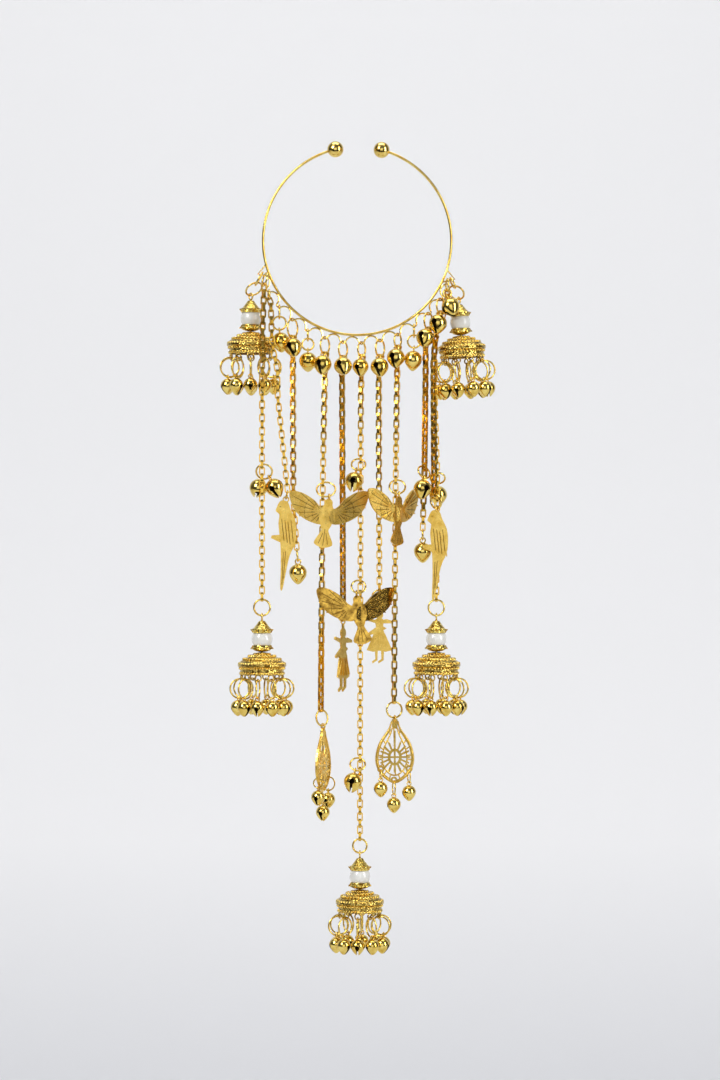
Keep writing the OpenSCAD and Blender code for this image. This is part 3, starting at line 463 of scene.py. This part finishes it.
bpy.ops.object.shade_smooth_by_angle(angle=math.radians(35))


TANGENT_REACH = 1.2


class Route:
    def __init__(self, points):
        self.points = [Vector(p) for p in points]
        self.at = [0]
        for a, b in zip(self.points, self.points[1:]):
            self.at.append(self.at[-1] + (b - a).length)

    def point(self, s):
        s = min(max(s, 0), self.at[-1])
        for i in range(len(self.at) - 1):
            if s <= self.at[i + 1]:
                t = (s - self.at[i]) / (self.at[i + 1] - self.at[i])
                return self.points[i].lerp(self.points[i + 1], t)
        return self.points[-1]

    def tangent(self, s):
        return (self.point(s + TANGENT_REACH) - self.point(s - TANGENT_REACH)).normalized()


# Neighbouring links stand a quarter turn apart. Between two rings their number is made odd
# or even to suit the way the rings face, and what angle is left is shared out as a twist.
def link_places(points, stops):
    route = Route(points)
    ends = []
    for i, (along, azimuth) in enumerate(stops):
        along = route.at[-1] + along if along < 0 else along
        shift = RING_TO_LINK if i == 0 else -RING_TO_LINK if i == len(stops) - 1 else 0
        ends.append((along + shift, azimuth))
    places = []
    for (s0, a0), (s1, a1) in zip(ends, ends[1:]):
        count = math.ceil((s1 - s0) / PITCH)
        turn = (a1 - a0) % 180
        quarter = 1 if 45 <= turn < 135 else 0
        if count % 2 != quarter:
            count += 1
        twist = turn - 90 * quarter
        twist = twist - 180 if twist > 90 else twist
        for k in range(0 if not places else 1, count + 1):
            places.append((s0 + (s1 - s0) * k / count, a0 + twist * k / count + 90 * (k % 2)))
    matrices = []
    for s, azimuth in places:
        along = route.tangent(s)
        around = Vector((math.cos(math.radians(azimuth)), math.sin(math.radians(azimuth)), 0))
        around = (around - along * around.dot(along)).normalized()
        across = along.cross(around)
        turn = Matrix((across, along, around)).transposed().to_4x4()
        matrices.append(Matrix.Translation(route.point(s) * MM) @ turn)
    return matrices


# Each chain: its route in millimetres, then the rings it hangs from, passes and carries, as
# the distance along the route and the azimuth of the ring's wire. A distance below nought is
# counted back from the route's end, and END is the end itself.
END = -0.001
CHAINS = [
    ([(-31.59, -1.68, -15.2), (-31.65, -2.18, -16), (-31.99, -3.08, -26.6),
      (-32.19, -5.48, -34.6), (-32.19, -6.28, -41.6), (-32.19, -6.28, -121.8)],
     [(0, 110), (-45.6, 0), (END, 0)]),
    ([(-30, -0.15, -20.04), (-29.4, -1, -20.94), (-29, -2.7, -33.04), (-28.4, -2.9, -38.04),
      (-27.1, -2.4, -44.04), (-27, -2.4, -53.04), (-23.6, -2.6, -85.04)],
     [(0, 100), (END, 90)]),
    ([(-21.5, 0.85, -32.8), (-21.68, 1.4, -33.7), (-21.78, 2, -35.57), (-21.88, 2, -38.17),
      (-21.88, 1.2, -42.97), (-21.68, 1, -86.97), (-20.58, 1, -104.67)],
     [(0, 60), (END, 90)]),
    ([(-10.5, 0.85, -38.4), (-10.69, 1.4, -39.24), (-10.89, 2, -41.14), (-10.99, 2, -43.74),
      (-11.09, 0.6, -50.54), (-11.69, 0, -82.24), (-12.39, 0, -159.54)],
     [(0, 60), (-77.3, 0), (END, 45)]),
    ([(-4.35, 0.85, -39.65), (-4.63, 1.4, -40.51), (-4.93, 2, -42.41), (-5.13, 2, -45.01),
      (-5.13, 1.8, -53.81), (-4.83, 2.2, -124.31)],
     [(0, 60), (END, 45)]),
    ([(1.95, 0.85, -39.25), (1.79, 1.5, -40.12), (1.59, 2.8, -42.02), (1.49, 2.8, -44.62),
      (1.29, 0.6, -51.42), (1.19, 0, -74.22), (1.09, 0, -115.52), (0.99, 0, -175.92),
      (0.89, 0, -203.32)],
     [(0, 60), (-129.1, 0), (-87.8, 0), (-27.4, 0), (END, 0)]),
    ([(8.25, 0.85, -39.3), (7.87, 1.4, -40.16), (7.47, 2, -42.06), (7.37, 2, -44.66),
      (7.37, 1.8, -53.46), (7.57, 3, -118.76)],
     [(0, 60), (END, 0)]),
    ([(14.25, 0.85, -36.1), (13.87, 1.4, -36.96), (13.77, 2, -38.86), (13.67, 2, -41.46),
      (13.57, 0.6, -48.26), (13.07, 0, -81.36), (12.47, 0, -156.76)],
     [(0, 60), (-75.4, 0), (END, 17)]),
    ([(24.65, 0.85, -30), (23.79, 1.4, -30.85), (23.39, 2, -32.75), (23.29, 2, -35.35),
      (23.29, 1.2, -44.15), (22.89, 0.7, -76.85), (22.29, 1.8, -98.05)],
     [(0, 60), (-21.23, 39), (END, 90)]),
    ([(28.6, 0.8, -24.5), (27.74, 1.4, -25.39), (27.14, 2.15, -27.49), (26.89, 1.6, -29.99),
      (26.49, -1.2, -34.49), (25.89, -1.6, -41.99), (26.14, -1.6, -86.19)],
     [(0, 60), (END, 135)]),
    ([(30.64, 0.6, -17.17), (30.71, 1.7, -18.04), (29.91, 4.2, -21.24), (29.11, 3.8, -25.74),
      (28.31, 3.8, -29.24), (26.11, 1.6, -34.24), (26.41, 0.6, -42.24), (26.41, 0.6, -54.24),
      (27.21, 0.4, -78.84), (26.91, 0.4, -122.04)],
     [(0, 100), (-43.2, 0), (END, 0)]),
]
for number, (points, stops) in enumerate(CHAINS, 1):
    chain = join_copies(f"link_chain_{number:02d}",
                        [(link.data, place) for place in link_places(points, stops)])
    chain.data.materials.clear()
    chain.data.materials.append(chain_gold)
    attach(chain, "hoop_and_chains")
    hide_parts(f"chain_{number:02d}")
bpy.data.objects.remove(link)


# Charms: doves, parrots, dancers and leaves stamped from thin brass sheet, embossed, and
# plated to a satin gold that is paler than the bells.
# Satin plate: a broad soft sheen, grained by the stamping
charm_gold = gold_plate("satin_gold_plated_stampings", "#f8d572", "#e2b750", 2.5, 0.3, 0.35, 0.3)
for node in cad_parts:
    if node.startswith(("dove", "parrot", "dancer")) or node in ("leaf_left", "leaf_right"):
        finish_node(node, charm_gold)
# One dove has a brighter polish than the rest and is coloured darker, as painted shade, with dark
# brown patches in its tint
shaded_charm_gold = gold_plate("polished_gold_stamping_painted_shade", "#f0c45a", "#7d5a1e", 1.8, 0.14, 0.35, 0.4)
finish_node("dove_lower", shaded_charm_gold)


# Engraving of the birds: feather lines between the raised ones on the front, made as thin
# rods set half into the plate. They are a little broader than real ones, so that they show.
# Engraving in painted shade: darker and duller than the plate, standing in for the shade in cut
# grooves
engraving, tree, shader = new_material("painted_shade_engraving")
shader.inputs["Base Color"].default_value = linear("#94702e")
shader.inputs["Metallic"].default_value = 1
shader.inputs["Roughness"].default_value = 0.45
clear_selection()
bpy.ops.mesh.primitive_cylinder_add(vertices=6, radius=MM / 2, depth=MM)
strut = bpy.context.object
bpy.ops.object.shade_smooth_by_angle(angle=math.radians(65))
strut.data.materials.append(engraving)
STRUT_OVERLAP = 0.3


def wire_along(points, thickness):
    places = []
    for a, b in zip(points, points[1:]):
        turn = (b - a).to_track_quat("Z", "Y").to_matrix().to_4x4()
        length = (b - a).length + STRUT_OVERLAP * thickness
        size = Matrix.Diagonal((thickness, thickness, length, 1))
        places.append(Matrix.Translation((a + b) / 2 * MM) @ turn @ size)
    return places


def add_engraving(bird, cuts):
    feathers = join_copies(f"{bird}_engraving", cuts)
    bpy.ops.object.mode_set(mode="EDIT")
    bpy.ops.mesh.select_all(action="SELECT")
    bpy.ops.mesh.normals_make_consistent(inside=False)
    bpy.ops.object.mode_set(mode="OBJECT")
    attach(feathers, "hoop_and_chains")


FRONT = -0.28
LINE = 0.26
EYE_DROP = 1.1
WING_LENGTH, WING_ROOT = 12, 0.96
SHOULDER_OUT, SHOULDER_DROP = 1.5, 4.22
# Feather lines of a wing: angle, start and end as shares of the wing
FEATHER_LINES = [(-60, 0.1, 0.3), (-41, 0.12, 0.41), (-20, 0.15, 0.5), (-1, 0.2, 0.66),
                 (15, 0.25, 0.84), (29, 0.3, 0.96), (42, 0.3, 0.78), (55, 0.12, 0.4)]
# Arcs across the feathers: radius as a share of the wing, first and last angle
FEATHER_ARCS = [(0.28, -50, 52), (0.5, -18, 42)]
ARC_STEPS = 8


def wing_point(angle, share):
    reach = WING_LENGTH * share
    return Vector((WING_ROOT + reach * math.cos(math.radians(angle)), FRONT,
                   reach * math.sin(math.radians(angle))))


wing_lines = [wire_along([wing_point(angle, start), wing_point(angle, end)], LINE)
              for angle, start, end in FEATHER_LINES]
for share, low, high in FEATHER_ARCS:
    arc = [wing_point(low + (high - low) * k / ARC_STEPS, share) for k in range(ARC_STEPS + 1)]
    wing_lines.append(wire_along(arc, LINE))
TAIL_LINES = [[(0, -10.2), (0, -15.8)], [(0.5, -11.5), (1.6, -15.2)],
              [(-0.5, -11.5), (-1.6, -15.2)]]
# Each dove: the bottom of its ring, the way it faces, the bends of its wings, the tail's turn
DOVES = [("left", (-9.49, -3.8, -86.84), 0, 8, 12, 8),
         ("right", (14.18, -2.6, -85.96), 50, 12, 12, 4),
         ("lower", (-0.21, -2.2, -119.62), 0, 0, 20, -8)]
for side, ring_bottom, face, left_bend, right_bend, tail_turn in DOVES:
    dove = (Matrix.Translation((Vector(ring_bottom) - Vector((0, 0, EYE_DROP))) * MM)
            @ Matrix.Rotation(math.radians(face), 4, "Z"))
    cuts = []
    for way, bend in ((-1, left_bend), (1, right_bend)):
        wing = (dove @ Matrix.Translation(Vector((way * SHOULDER_OUT, 0, -SHOULDER_DROP)) * MM)
                @ Matrix.Rotation(math.radians(way * bend), 4, "Z"))
        if way < 0:
            wing = wing @ Matrix.Diagonal((-1, 1, 1, 1))
        cuts += [(strut.data, wing @ piece) for line in wing_lines for piece in line]
    tail = dove @ Matrix.Rotation(math.radians(tail_turn), 4, "Y")
    for line in TAIL_LINES:
        points = [Vector((x, FRONT, z)) for x, z in line]
        cuts += [(strut.data, tail @ piece) for piece in wire_along(points, LINE)]
    add_engraving(f"dove_{side}", cuts)

# Lines of a parrot's wing, tail and eye, as shares of its length from the eye it hangs by
PARROT_LENGTH = 30.5
PARROT_LINES = [[(-0.048, -0.19), (-0.022, -0.43)], [(-0.012, -0.2), (0.014, -0.45)],
                [(0.022, -0.22), (0.046, -0.47)], [(0.055, -0.2), (0.08, -0.44)],
                [(-0.03, -0.56), (-0.045, -0.92)], [(-0.005, -0.55), (-0.03, -0.85)],
                [(-0.07, -0.05), (-0.055, -0.05)]]
# Each parrot: the bottom of its ring
PARROTS = [("left", (-24.14, -2.6, -87.74)), ("right", (27.34, -1.6, -90.99))]
for side, ring_bottom in PARROTS:
    parrot = Matrix.Translation((Vector(ring_bottom) - Vector((0, 0, EYE_DROP))) * MM)
    cuts = []
    for line in PARROT_LINES:
        points = [Vector((x * PARROT_LENGTH, FRONT, z * PARROT_LENGTH)) for x, z in line]
        cuts += [(strut.data, parrot @ piece) for piece in wire_along(points, LINE)]
    add_engraving(f"parrot_{side}", cuts)


# Tracery of the leaves: thin wire soldered in the pierced field round the rays, and a bead
# of wire along the rim on both faces, plated with the rest of the leaf.
LEAF_W, LEAF_LEN = 13.4, 21.2
LEAF_HALF = [(0.09, 0), (0.13, -0.1), (0.27, -0.22), (0.42, -0.37), (0.5, -0.57), (0.47, -0.73),
             (0.33, -0.88), (0.12, -0.98)]
LEAF_MIDDLE = Vector((0, 0, -0.58 * LEAF_LEN))
CORNER_CUTS = 2
RIM_WIRE, RIM_INSET, RIM_FACE = 0.5, 0.35, 0.3
# The pierced field lies between two loops, this far in from the leaf's edge
FIELD_OUTER, FIELD_INNER = 0.8, 2.3
FIELD_WIRE = 0.55
RAYS, RAY_WIRE, RAY_START = 16, 0.5, 3
strut.data.materials.clear()
strut.data.materials.append(charm_gold)


def leaf_loop(inset, face):
    half = [Vector((x * LEAF_W, 0, z * LEAF_LEN)) for x, z in LEAF_HALF]
    loop = half + [Vector((-p.x, 0, p.z)) for p in reversed(half)]
    for _ in range(CORNER_CUTS):
        loop = [a.lerp(b, t) for a, b in zip(loop, loop[1:] + loop[:1]) for t in (0.25, 0.75)]
    loop = [p + (LEAF_MIDDLE - p).normalized() * inset for p in loop]
    return [p + Vector((0, face, 0)) for p in loop]


def ray_end(loop, angle):
    way = Vector((math.sin(angle), 0, math.cos(angle)))
    return max(loop, key=lambda p: (p - LEAF_MIDDLE).normalized().dot(way))


rim_wires = []
for face in (-RIM_FACE, RIM_FACE):
    rim = leaf_loop(RIM_INSET, face)
    rim_wires.append(wire_along(rim + rim[:1], RIM_WIRE))
inner, outer = leaf_loop(FIELD_INNER, 0), leaf_loop(FIELD_OUTER, 0)
field_wires = [wire_along(inner + inner[:1], FIELD_WIRE)]
for k in range(RAYS):
    between = 2 * math.pi * (k + 0.5) / RAYS
    field_wires.append(wire_along([ray_end(inner, between), ray_end(outer, between)], RAY_WIRE))
    end = ray_end(inner, 2 * math.pi * k / RAYS)
    start = LEAF_MIDDLE + (end - LEAF_MIDDLE).normalized() * RAY_START
    field_wires.append(wire_along([start, end], RAY_WIRE))
for side, place, turn in LEAF_PLACES:
    leaf_frame = (Matrix.Translation(Vector(place) * MM)
                  @ Matrix.Rotation(math.radians(turn), 4, "Z"))
    tracery = join_copies(f"leaf_{side}_tracery", [
        (strut.data, leaf_frame @ piece) for wires in rim_wires + field_wires for piece in wires])
    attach(tracery, "hoop_and_chains")
bpy.data.objects.remove(strut)


# Jhumkas: a pin through a pearl between two petal caps, and a domed bell of pressed brass
# with rows of rope wire and granules soldered round it, all plated a deep yellow.
# Granulated plate: bright grains with painted shade darkening the recesses between them
def granulated_gold(name, light, deep, grain_mm):
    material, tree, shader = new_material(name)
    place = add_node(tree, "ShaderNodeTexCoord").outputs["Object"]
    grains = add_node(tree, "ShaderNodeTexVoronoi", {"Scale": 1 / (grain_mm * MM)},
                      {"Vector": place})
    recess_shade = add_node(tree, "ShaderNodeMapRange", {"From Min": 0.25, "From Max": 0.75},
                      {"Value": grains.outputs["Distance"]})
    tint = add_node(tree, "ShaderNodeMix", {"data_type": "RGBA"})
    tint.inputs[6].default_value = linear(light)
    tint.inputs[7].default_value = linear(deep)
    tree.links.new(recess_shade.outputs["Result"], tint.inputs[0])
    tree.links.new(tint.outputs[2], shader.inputs["Base Color"])
    shader.inputs["Metallic"].default_value = 1
    shader.inputs["Roughness"].default_value = 0.24
    relief = add_node(tree, "ShaderNodeBump", {"Strength": 0.7, "Distance": 0.18 * MM,
                                               "invert": True},
                      {"Height": grains.outputs["Distance"]})
    tree.links.new(relief.outputs["Normal"], shader.inputs["Normal"])
    return material


# Domes and petal caps both have painted shade between their grains, darker on the domes
dome_gold = granulated_gold("granulated_gold_plate_painted_recess_shade", "#fbdf7c", "#855f18", 0.62)
cap_gold = granulated_gold("beaded_gold_petal_caps_painted_recess_shade", "#fbe884", "#c79a36", 0.75)
rope_gold = gold_plate("gold_plated_rope_wire", "#fbe384", "#e0b248", 1.5, 0.16, 0.5, 0.1)
# Each jhumka: its hinge, the lean of its pin and the turn of its bells
JHUMKAS = [
    ("upper_left", (-36.35, 5.85, -18.13), 0, 19),
    ("upper_right", (34.65, 4.18, -19.57), 3.5, 2),
    ("lower_left", (-32.19, -6.28, -127.25), 0, 9),
    ("lower_right", (26.91, 0.4, -127.39), 0, 4),
    ("bottom", (0.89, 0, -208.07), 0, 13),
]
# Rows of rope wire: radius, height below the hinge, wire thickness, slant of its strands
DOME_TOP = -12.42
ROPE_ROWS = [(2.75, DOME_TOP - 0.6, 0.7, 50), (4.5, DOME_TOP - 1.3, 0.95, 50),
             (6.25, DOME_TOP - 2.4, 1.05, -50), (7.7, DOME_TOP - 3.9, 1.1, 50),
             (7.55, DOME_TOP - 5.45, 0.9, 0), (7.35, DOME_TOP - 7.1, 0.95, -50)]
# Strands of the rope and granules of the row without slant, as shares of the row's wire
STRAND_PITCH = 1.15
STRAND_DEEP, STRAND_WIDE = 0.9, 0.72
STRAND_LENGTH, GRANULE_LENGTH = 1.5, 0.9
# Rings below a dome: their circle, the height of their middle and the offset of a bell
DOME_RING_CIRCLE, DOME_RING_Z = 7.55, -24.65
DOME_RING_RADIUS, DOME_RING_WIRE = 3.3, 0.6
DOME_BELLS = 10
BELL_OUT = 0.7
BELL_DROP = math.sqrt(DOME_RING_RADIUS ** 2 - BELL_OUT ** 2)
dome_ring = wire_ring(DOME_RING_RADIUS, DOME_RING_WIRE / 2, 28)
clear_selection()
bpy.ops.mesh.primitive_ico_sphere_add(subdivisions=2, radius=MM / 2)
strand = bpy.context.object
bpy.ops.object.shade_smooth()
for number, (side, hinge, tilt, bell_turn) in enumerate(JHUMKAS, 1):
    for part, metal in (("pin", rope_gold), ("upper_cap", cap_gold), ("lower_cap", cap_gold),
                        ("dome", dome_gold)):
        finish_node(f"jhumka_{number}_{part}", metal)
    hang = Matrix.Translation(Vector(hinge) * MM) @ Matrix.Rotation(math.radians(-tilt), 4, "Y")
    places = []
    for radius, level, wire, slant in ROPE_ROWS:
        strands = round(2 * math.pi * radius / (wire * STRAND_PITCH))
        length = STRAND_LENGTH if slant else GRANULE_LENGTH
        spot = Matrix.Translation((radius * MM, 0, level * MM))
        twist = Matrix.Rotation(math.radians(slant), 4, "X")
        size = Matrix.Diagonal((wire * STRAND_DEEP, wire * STRAND_WIDE, wire * length, 1))
        for k in range(strands):
            turn = Matrix.Rotation(2 * math.pi * k / strands, 4, "Z")
            places.append((strand.data, hang @ turn @ spot @ twist @ size))
    ropes = join_copies(f"dome_ropes_{side}", places)
    ropes.data.materials.clear()
    ropes.data.materials.append(rope_gold)
    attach(ropes, f"jhumka_{side}")
    places = []
    for k in range(DOME_BELLS):
        turn = Matrix.Rotation(math.radians(bell_turn + 360 * k / DOME_BELLS), 4, "Z")
        ring_place = hang @ turn @ Matrix.Translation(
            Vector((DOME_RING_CIRCLE, 0, DOME_RING_Z)) * MM)
        places.append((dome_ring.data, ring_place))
        spin = 90 * (k % 2)
        bell_place = ring_place @ Matrix.Translation(Vector((BELL_OUT, 0, -BELL_DROP)) * MM)
        bell_place = bell_place @ Matrix.Rotation(math.radians(90 + spin), 4, "Z")
        places += bell_copies(bell_place, SMALL_BELL_D, DOME_RING_WIRE, -spin)
    add_bells(f"dome_bells_{side}", places, f"jhumka_{side}", f"jhumka_{number}_bells")
for model in (strand, dome_ring, bell, eye):
    bpy.data.objects.remove(model)


# Pearls: moulded acrylic with a pearl lacquer, drilled through for the pin.
# Pearl lacquer: a cloudy white body seen through a clear glossy coat
pearl, tree, shader = new_material("pearl_lacquered_acrylic")
place = add_node(tree, "ShaderNodeTexCoord").outputs["Object"]
cloud = add_node(tree, "ShaderNodeTexNoise", {"Scale": 1 / (3 * MM), "Detail": 2},
                 {"Vector": place})
tint = add_node(tree, "ShaderNodeMix", {"data_type": "RGBA"})
tint.inputs[6].default_value = linear("#dfddd4")
tint.inputs[7].default_value = linear("#f3f3f0")
tree.links.new(cloud.outputs["Fac"], tint.inputs[0])
tree.links.new(tint.outputs[2], shader.inputs["Base Color"])
shader.inputs["Roughness"].default_value = 0.25
shader.inputs["Coat Weight"].default_value = 1
shader.inputs["Coat Roughness"].default_value = 0.06
shader.inputs["Sheen Weight"].default_value = 0.15
for number in range(1, len(JHUMKAS) + 1):
    finish_node(f"jhumka_{number}_pearl", pearl)
